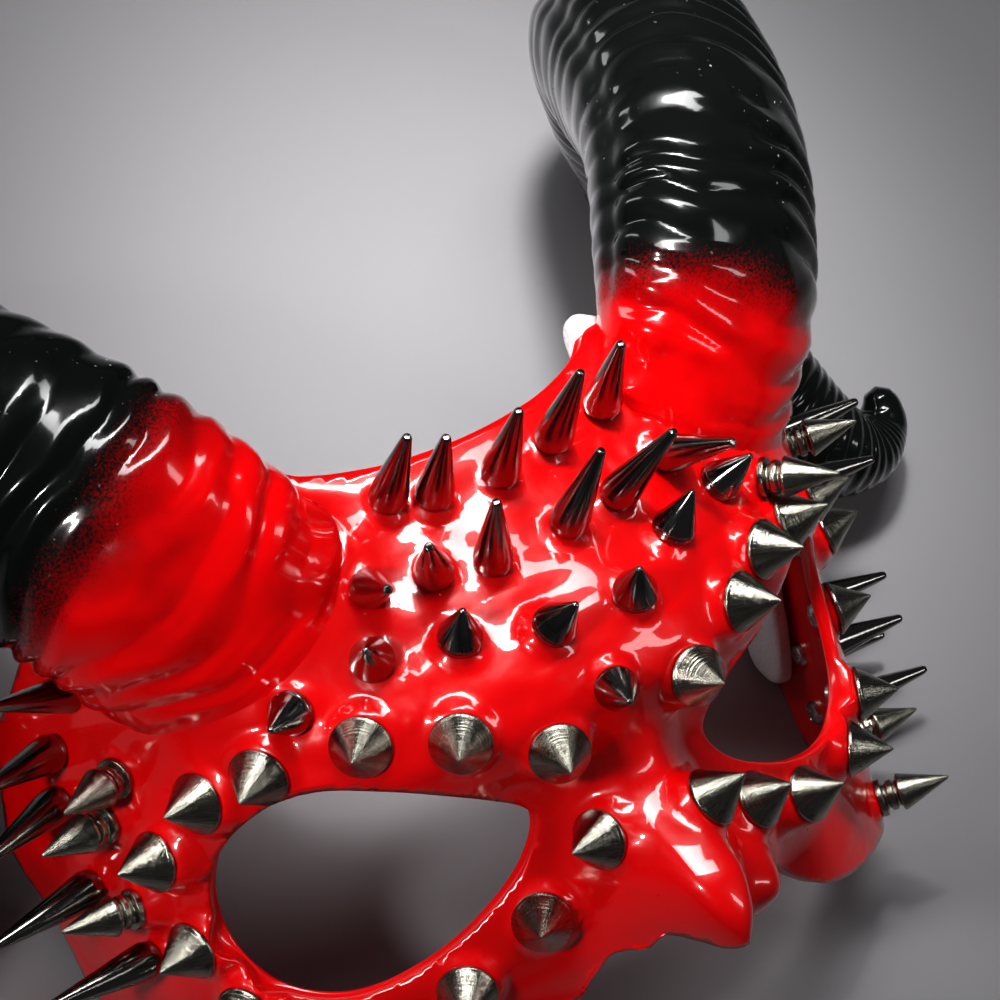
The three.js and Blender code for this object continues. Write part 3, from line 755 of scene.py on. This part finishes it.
# %% Lips and the finished face
LIP_STEPS = 6
LIP_BULGE = 0.4        # of the wall
inner_lying = lay(inner)
shell_points = [outer_lying, inner_lying]
shell_faces = [triangles, triangles[:, ::-1] + len(outer_lying)]
count = 2 * len(outer_lying)
for rim in rims:
    out_side, in_side = outer_lying[rim], inner_lying[rim]
    middle, half = (out_side + in_side) / 2, (out_side - in_side) / 2
    run = np.roll(middle, -1, 0) - np.roll(middle, 1, 0)
    open_way = unit(np.cross(run, half))
    thick = np.linalg.norm(half, axis=1, keepdims=True)
    previous = np.array(rim)
    for k in range(1, LIP_STEPS + 1):
        if k == LIP_STEPS:
            current = np.array(rim) + len(outer_lying)
        else:
            turn = math.pi * k / LIP_STEPS
            bulge = math.sin(turn) * LIP_BULGE * thick * open_way
            shell_points.append(middle + math.cos(turn) * half + bulge)
            current = np.arange(len(rim)) + count
            count += len(rim)
        strip = np.stack([previous, current, np.roll(current, -1), np.roll(previous, -1)], 1)
        shell_faces.append(strip)
        previous = current
all_faces = [f for group in shell_faces for f in group]
skin_points = np.concatenate(shell_points)
skin_points[:, 2] = np.maximum(skin_points[:, 2], 0.0)
skin = piece("face_moulding", skin_points, all_faces, "red lacquer", "mask_shell")
print("face moulding", len(skin.data.polygons), "faces")

# %% [markdown]
# ## Studs
# Every stud is a turned piece, so a profile spun round its axis is the honest way to make it.
# Real corners are never knife sharp: each corner of a profile is cut back and rounded by a tenth
# or two of a millimetre, and that rounding is what catches the light.

# %% Profiles, as radius and distance from the seat
PROFILES = {
    "cone_stud": [(0, 0), (4.6, 0), (5.25, 0.12), (5.25, 0.72), (4.95, 1.02), (0.3, 8.0), (0, 8.3)],
    "forehead_spike": [(0, 0), (2.7, 0), (3.15, 0.5), (3.4, 1.8), (3.25, 3.5), (0.85, 18.9),
                       (0.6, 19.4), (0, 19.4)],
    "collared_spike": [(0, 0), (3.55, 0), (3.75, 0.25), (3.75, 1.2), (3.6, 1.4), (3.6, 1.6),
                       (3.7, 1.75), (0.5, 9.2), (0, 9.4)],
    "tree_spike": [(0, 0), (3.6, 0), (3.6, 1.1), (2.4, 1.3), (2.4, 1.9), (3.0, 2.1), (3.0, 3.2), (2.4, 3.4),
                   (2.5, 3.9), (3.6, 4.3), (3.6, 4.7), (0.35, 13.7), (0, 14)],
    "long_spike": [(0, 0), (2.7, 0), (3.15, 0.5), (3.4, 1.9), (3.25, 3.8), (0.85, 21.4),
                   (0.6, 22), (0, 22)]}
FINISH_OF = {"cone_stud": ("nickel", "nickel"), "tree_spike": ("nickel", "nickel")}
SHANK = 2.2            # the short root that goes into the skin
SHANK_SHARE = 0.72     # its width, in widths of the base


def rounded(rows, radius=0.16):
    rows = np.array(rows, float)
    out = [rows[0]]
    for before, here, after in zip(rows[:-2], rows[1:-1], rows[2:]):
        back, on = before - here, after - here
        cut = min(radius, np.linalg.norm(back) * 0.4, np.linalg.norm(on) * 0.4)
        start, end = here + unit(back) * cut, here + unit(on) * cut
        for t in (0, 0.33, 0.67, 1):
            out.append((1 - t) ** 2 * start + 2 * t * (1 - t) * here + t * t * end)
    out.append(rows[-1])
    return np.array(out)


def spun(rows, sides):
    rows = np.asarray(rows, float) / 1000
    turn = np.linspace(0, 2 * np.pi, sides, endpoint=False)
    body = rows[1:-1]
    out, high = body[:, :1], np.repeat(body[:, 1:], sides, 1)
    rings = np.stack([out * np.cos(turn), out * np.sin(turn), high], -1)
    points = np.vstack([rings.reshape(-1, 3), (0, 0, rows[0, 1]), (0, 0, rows[-1, 1])])
    quads, ring, after, end = bands(len(body) - 1, sides)
    low_fan = np.stack([after, ring, np.full(sides, len(points) - 2)], 1)
    high_fan = np.stack([end + ring, end + after, np.full(sides, len(points) - 1)], 1)
    return points, [f for group in (quads, low_fan, high_fan) for f in group]


def stand(middle, axis, spin):
    turn = Vector(axis).to_track_quat("Z", "Y").to_matrix().to_4x4()
    return Matrix.Translation(middle) @ turn @ Matrix.Rotation(spin, 4, "Z")


def stud(name, kind, middle, axis, stands_for=(), spin=0.0):
    rows = PROFILES[kind]
    wide = rows[1][0] * SHANK_SHARE
    with_shank = [(0, -SHANK), (wide, -SHANK), (wide, -0.01)] + rows[1:]
    points, faces = spun(rounded(with_shank), 56 if kind == "cone_stud" else 40)
    finish, slot_name = FINISH_OF.get(kind, ("black nickel", "black_nickel"))
    return piece(name, points, faces, finish, stands_for, stand(middle, axis, spin))


print("stud profiles", list(PROFILES))

# %% All studs that have a solid
for index, (node, (middle, axis, radius)) in enumerate(sorted(seats.items())):
    kind = next(word for word in PROFILES if node.startswith(word))
    stud(f"plated_{node}", kind, middle, axis, node, spin=index * 2.4)
print("studs made", len(seats))

# %% [markdown]
# A few more slender spikes crowd the temples behind the ones that have solids. They are small
# and alike, so they are made here from the same profiles: each is a place on the face and the
# way it points.

# %% Further spikes of the temples
def aim(turn, rise):
    turn, rise = math.radians(turn), math.radians(rise)
    flat = math.cos(rise)
    return np.array((flat * math.sin(turn), -flat * math.cos(turn), math.sin(rise)))


EXTRA_SPIKES = {
    "right": [(-64.5, 31.3, -62, 20), (-69.8, 21.8, -60, 8), (-70.4, 13.2, -66, -2)],
    "left": [(74, 25, 74, 30), (72, 14, 76, 4), (73, 3, 78, -4), (70, -30, 78, -2), (76, -34, 80, -8)]}
extra_seats = []
for side, rows_here in EXTRA_SPIKES.items():
    for index, (turn_here, level_here, way_turn, way_rise) in enumerate(rows_here):
        middle = Vector(lay(face(np.array(turn_here), np.array(level_here), 0.4)))
        axis = Vector(lay_way(aim(way_turn, way_rise))).normalized()
        stud(f"temple_spike_{side}_{index + 1}", "forehead_spike", middle, axis, spin=index)
        extra_seats.append((middle, axis))
print("further spikes", len(extra_seats))

# %% [markdown]
# ## Screws
# Each stud is held by a small cross-head screw put in from the back. The head is a low dome with
# a cross pressed into it. A disc of fine squares is raised to the dome and lowered along the
# cross, which is quicker and cleaner than cutting.

# %% Screw heads on the inner skin
def screw_head(radius=2.5, high=1.3):
    rings, sides = 9, 32
    cross_half, cross_reach, cross_depth = 0.36, 1.55, 0.55
    points, faces = [(0, 0, high)], []
    for k in range(1, rings + 1):
        r = radius * k / rings
        for j in range(sides):
            turn = 2 * math.pi * j / sides
            x, y = r * math.cos(turn), r * math.sin(turn)
            z = high * math.sqrt(max(0, 1 - (r / radius) ** 2 * 0.8)) if k < rings else -0.5
            pressed = min(abs(x), abs(y)) < cross_half and r < cross_reach
            points.append((x, y, z - (cross_depth if pressed else 0)))
    points[0] = (0, 0, high - cross_depth)
    for j in range(sides):
        faces.append((0, 1 + j, 1 + (j + 1) % sides))
        for k in range(rings - 1):
            a, b = 1 + k * sides + j, 1 + k * sides + (j + 1) % sides
            faces.append((a, a + sides, b + sides, b))
    faces.append(tuple(range(len(points) - 1, len(points) - 1 - sides, -1)))
    return np.array(points) / 1000, faces


head_points, head_faces = screw_head()
placed = 0
stud_feet = [(middle, axis) for middle, axis, radius in seats.values()] + extra_seats
for index, (middle, axis) in enumerate(stud_feet):
    away = inner_lying - np.array(middle)
    rise = away @ np.array(axis)
    reach = np.linalg.norm(away - rise[:, None] * np.array(axis), axis=1)
    reach[np.abs(rise) > 0.012] = 1          # not the far side of the face
    nearest = int(np.argmin(reach))
    if reach[nearest] > 0.002:               # no skin behind this stud
        continue
    turn_here, level_here = flat_points[nearest, 0] / DEGREE, flat_points[nearest, 1]
    inward = Vector(lay_way(-cheek_normal(np.array(turn_here), np.array(level_here))))
    foot = Vector(inner_lying[nearest]) + inward * 0.0001
    piece(f"screw_head_{index + 1}", head_points, head_faces, "screw steel",
          place=stand(foot, inward, index * 1.3), smooth_shade=False)
    placed += 1
print("screw heads", placed)

# %% [markdown]
# ## Foam pads
# A strip of foam with round ends is stuck to the inside, from the brow down each temple. Its
# edges are cut square but bulge, and it is a little uneven, because foam is soft.

# %% Foam pads
PAD_LINE = [(28, 57), (38, 51), (50, 42), (62, 26), (70, 6), (75, -14), (77, -36)]
PAD_THICK, PAD_HALF = 4.0, 8.0         # thickness and half width in millimetres
PAD_OFF = 0.5                          # gap to the skin that it is stuck to


def pad(name, side, node):
    steps, around = 120, 40
    share = np.linspace(0, 1, len(PAD_LINE))
    turn_at, level_at = (curve(list(zip(share, [p[k] for p in PAD_LINE]))) for k in (0, 1))
    t = np.linspace(0, 1, steps)
    tip_share = np.minimum(t, 1 - t) * 11
    half = PAD_HALF * np.sqrt(np.clip(1 - (1 - np.clip(tip_share, 0, 1)) ** 2, 0.02, 1))
    ahead = face(turn_at(np.minimum(t + 0.02, 1)), level_at(np.minimum(t + 0.02, 1)), -SKIN)
    behind = face(turn_at(np.maximum(t - 0.02, 0)), level_at(np.maximum(t - 0.02, 0)), -SKIN)
    forward = unit(ahead - behind)
    inward = -cheek_normal(turn_at(t), level_at(t))
    across = unit(np.cross(inward, forward))
    base = face(turn_at(t), level_at(t), -SKIN)
    turn = np.linspace(0, 2 * np.pi, around, endpoint=False)
    wide = np.sign(np.cos(turn)) * np.abs(np.cos(turn)) ** 0.45
    high = np.sign(np.sin(turn)) * np.abs(np.sin(turn)) ** 0.6
    full = (0.55 + 0.45 * (half / PAD_HALF))[:, None]
    raised = PAD_OFF + PAD_THICK / 2 * (1 + high[None] * full)
    points = (base[:, None] + across[:, None] * (half[:, None] * wide[None])[..., None]
              + inward[:, None] * raised[..., None])
    flat = points.reshape(-1, 3)
    flat = flat + 0.25 * noise_of(flat, 6.0, 41.0)[:, None] * np.repeat(inward, around, 0)
    flat = np.vstack([flat, points[0].mean(0), points[-1].mean(0)]) * [side, 1, 1]
    quads, ring, after, end = bands(steps - 1, around)
    low = np.stack([after, ring, np.full(around, len(flat) - 2)], 1)
    high_fan = np.stack([end + ring, end + after, np.full(around, len(flat) - 1)], 1)
    faces = [f for group in (quads, low, high_fan) for f in (group if side < 0 else group[:, ::-1])]
    return piece(name, lay(flat), faces, "white foam", node)


PADS = (("foam_strip_left", 1, "foam_pad_left"), ("foam_strip_right", -1, "foam_pad_right"))
for name, side, node in PADS:
    print(name, len(pad(name, side, node).data.polygons), "faces")

# %% [markdown]
# ## Which way faces look
# A mesh made from formulas can come out inside out, and then bumps read as dents. Blender can
# turn all faces of a closed piece outwards, so that is done once for every piece.

# %% Turn all faces outwards
for thing in made:
    work = bmesh.new()
    work.from_mesh(thing.data)
    bmesh.ops.recalc_face_normals(work, faces=work.faces)
    work.to_mesh(thing.data)
    work.free()
    thing.data.update()
triangle_count = sum(len(p.vertices) - 2 for thing in made for p in thing.data.polygons)
print("pieces", len(made), "triangles", triangle_count)

# %% [markdown]
# ## Floor, light and camera
# A plain grey floor and soft lights show gloss honestly. One long softbox above the horns draws
# the pale patches on the forehead, and two narrow ones draw the edges of the horns. A spot makes
# the pool of light on the floor behind, and a small light in front lifts the near cheek, while
# the rest stays dark, which gives the red its depth. Directions are given as the camera sees
# them: right, up and towards it.

# %% Floor
wire, shader = start_finish("floor paper")
feed(shader, Base_Color=(0.255, 0.25, 0.26, 1), Roughness=0.75)
floor_mesh = bpy.data.meshes.new("floor")
HALF_FLOOR = 6.0       # metres
floor_corners = [(x * HALF_FLOOR, y * HALF_FLOOR, 0) for x, y in ((-1, -1), (1, -1), (1, 1), (-1, 1))]
floor_mesh.from_pydata(floor_corners, [], [(0, 1, 2, 3)])
floor = bpy.data.objects.new("floor", floor_mesh)
bpy.context.collection.objects.link(floor)
floor_mesh.materials.append(finishes["floor paper"])
floor.location.z = -0.0002
print("floor", 2 * HALF_FLOOR, "m wide")

# %% Camera
EYE_POINT = (-210, -410, 197)
LOOK = (0.41945, 0.85303, -0.31048)
RIGHT = (0.81894, -0.50315, -0.27601)
UP = (0.39167, 0.13849, 0.90963)
look, right, up = (Vector(lay_way(v)).normalized() for v in (LOOK, RIGHT, UP))
camera_data = bpy.data.cameras.new("camera")
camera_data.lens, camera_data.sensor_width = 108.0, 36.0
camera_data.clip_start, camera_data.clip_end = 0.01, 20
camera = bpy.data.objects.new("camera", camera_data)
bpy.context.collection.objects.link(camera)
turn = Matrix((right, up, -look)).transposed().to_4x4()
camera.matrix_world = Matrix.Translation(Vector(lay(EYE_POINT))) @ turn
bpy.context.scene.camera = camera
print("camera", round(camera.location.z, 2), "m above the floor")

# %% Lights
MASK_MIDDLE = (0.0, 0.0, 0.06)         # what the softboxes face, in metres


def hang(data, to_right, to_up, to_camera, distance, aim_at):
    light = bpy.data.objects.new(data.name, data)
    bpy.context.collection.objects.link(light)
    way = (right * to_right + up * to_up - look * to_camera).normalized()
    facing = way.to_track_quat("Z", "Y").to_matrix().to_4x4()
    light.matrix_world = Matrix.Translation(Vector(aim_at) + way * distance) @ facing


def softbox(name, to_right, to_up, to_camera, distance, width, tall, power, spread=180):
    data = bpy.data.lights.new(name, "AREA")
    data.shape, data.size, data.size_y, data.energy = "RECTANGLE", width, tall, power
    data.spread = math.radians(spread)
    hang(data, to_right, to_up, to_camera, distance, MASK_MIDDLE)


def spot(name, to_right, to_up, to_camera, distance, power, size, degrees, aim_at):
    data = bpy.data.lights.new(name, "SPOT")
    data.energy, data.shadow_soft_size = power, size
    data.spot_size, data.spot_blend = math.radians(degrees), 1.0
    hang(data, to_right, to_up, to_camera, distance, aim_at)


softbox("softbox above", 0.05, 0.74, 0.66, 0.8, 0.7, 0.13, 0.62, 70)
softbox("softbox right", 1.0, 0.2, 0.6, 1.0, 0.12, 0.5, 0.8)
softbox("softbox left", -0.75, 0.62, 0.2, 1.0, 0.16, 0.6, 1.2)
spot("pool of light", 0.0, 0.6, 0.8, 0.62, 19.0, 0.05, 23, (0.06, 0.04, 0))
spot("front light", -0.45, 0.05, 0.9, 0.75, 8.0, 0.05, 22, (-0.01, -0.035, 0.04))
world = bpy.data.worlds.new("studio")
bpy.context.scene.world = world
world.use_nodes = True
world.node_tree.nodes["Background"].inputs["Color"].default_value = (0.5, 0.5, 0.52, 1)
world.node_tree.nodes["Background"].inputs["Strength"].default_value = 0.07
bpy.context.scene.view_settings.view_transform = "Standard"
bpy.context.scene.view_settings.look = "Medium High Contrast"
bpy.context.scene.view_settings.exposure = 0.25
